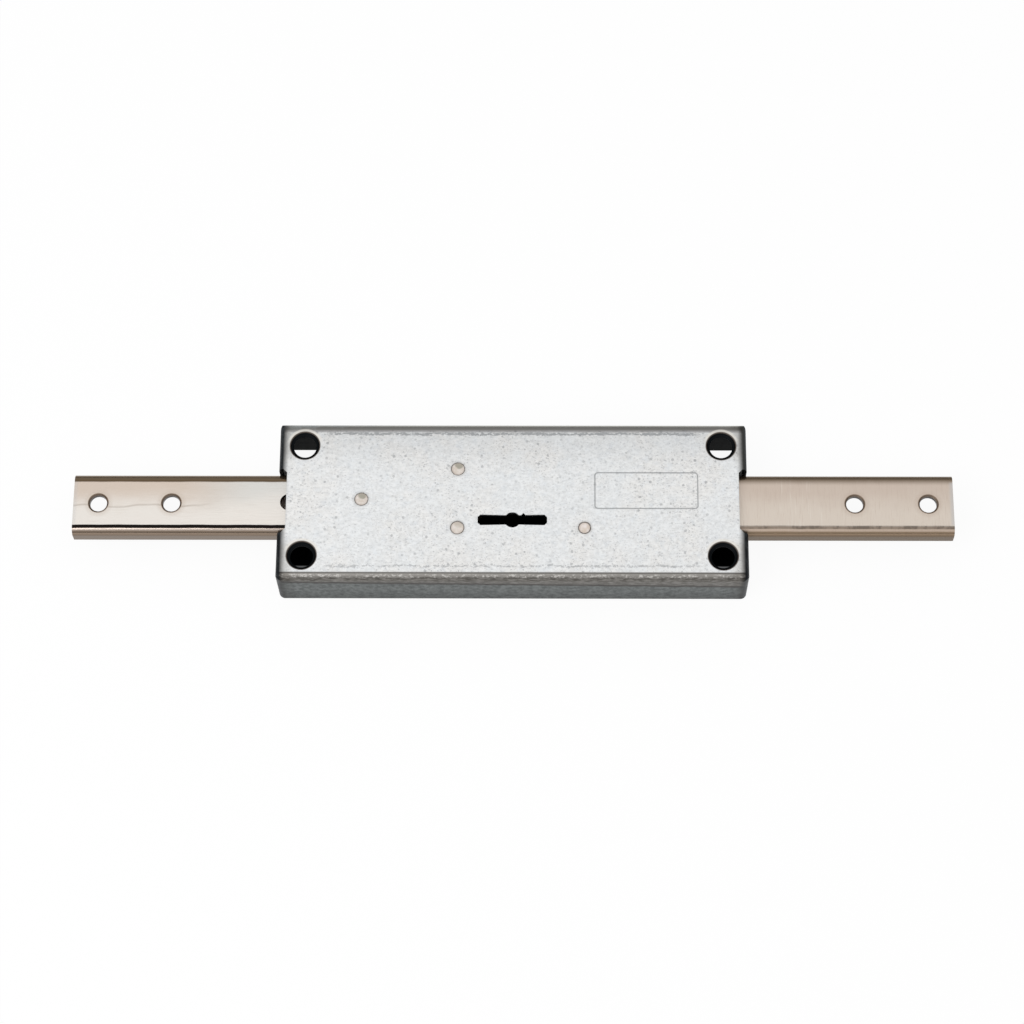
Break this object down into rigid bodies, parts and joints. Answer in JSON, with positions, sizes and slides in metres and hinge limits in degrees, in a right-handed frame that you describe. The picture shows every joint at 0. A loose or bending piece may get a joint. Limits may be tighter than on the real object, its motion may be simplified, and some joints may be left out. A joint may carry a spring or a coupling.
{
  "type": "garage door lock",
  "caption": "Flat folded-steel lock for a garage or shutter door: a double-bit key throws opposed channel bolts out of the two ends.",
  "frame": {"origin": "middle of the case on the plane of its back rim, with both bolts thrown", "axes": "+X along the bolts to the right of the picture, +Y across the bolts to the top of the picture, +Z out of the face with the keyhole"},
  "size_m": [0.2318, 0.044, 0.015],
  "materials": {
    "galvanised_sheet": "zinc coated, satin with fine specks",
    "galvanised_back": "zinc coated, satin",
    "rivet_steel": "smooth, slightly warm",
    "nickel_bright": "nickel plated, fairly bright",
    "nickel_satin": "nickel plated, satin with fine scratches",
    "plain_steel": "plain cold-rolled",
    "lever_brass": "stamped, satin",
    "spring_steel": "dark tempered"
  },
  "bodies": {
    "case": {"case_cover": "galvanised_sheet", "back_plate": "galvanised_back", "left_guide_pin": "rivet_steel", "right_guide_pin": "rivet_steel", "upper_lever_post": "rivet_steel", "lower_lever_post": "rivet_steel", "rocker_pivot": "rivet_steel"},
    "left_bolt": {"left_bolt": "nickel_bright", "left_tail": "plain_steel", "left_tail_rivets": "rivet_steel", "stump": "rivet_steel"},
    "right_bolt": {"right_bolt": "nickel_satin", "right_tail": "plain_steel", "right_tail_rivets": "rivet_steel"},
    "rocker": {"rocker": "plain_steel", "rocker_upper_pin": "rivet_steel", "rocker_lower_pin": "rivet_steel"},
    "lever_1": {"lever_1": "lever_brass", "lever_spring_1": "spring_steel"},
    "lever_2": {"lever_2": "lever_brass", "lever_spring_2": "spring_steel"},
    "lever_3": {"lever_3": "lever_brass", "lever_spring_3": "spring_steel"},
    "lever_4": {"lever_4": "lever_brass", "lever_spring_4": "spring_steel"}
  },
  "joints": [
    {"name": "left_bolt_slide", "type": "slide", "parent": "case", "child": "left_bolt", "axis": [1, 0, 0], "range_m": [0, 0.015]},
    {"name": "right_bolt_slide", "type": "slide", "parent": "case", "child": "right_bolt", "axis": [-1, 0, 0], "range_m": [0, 0.015]},
    {"name": "rocker_swing", "type": "hinge", "parent": "case", "child": "rocker", "pos_m": [0.0189, -0.0077, 0.0085], "axis": [0, 0, -1], "range_deg": [0, 90.1]},
    {"name": "lever_1_lift", "type": "slide", "parent": "case", "child": "lever_1", "axis": [0, 1, 0], "range_m": [-0.0022, 0]},
    {"name": "lever_2_lift", "type": "slide", "parent": "case", "child": "lever_2", "axis": [0, 1, 0], "range_m": [-0.0022, 0]},
    {"name": "lever_3_lift", "type": "slide", "parent": "case", "child": "lever_3", "axis": [0, 1, 0], "range_m": [-0.0022, 0]},
    {"name": "lever_4_lift", "type": "slide", "parent": "case", "child": "lever_4", "axis": [0, 1, 0], "range_m": [-0.0022, 0]}
  ],
  "couplings": [
    {"joint": "right_bolt_slide", "follows": "left_bolt_slide", "ratio": 1},
    {"joint": "rocker_swing", "follows": "left_bolt_slide", "rad_per_m": 104.8}
  ]
}
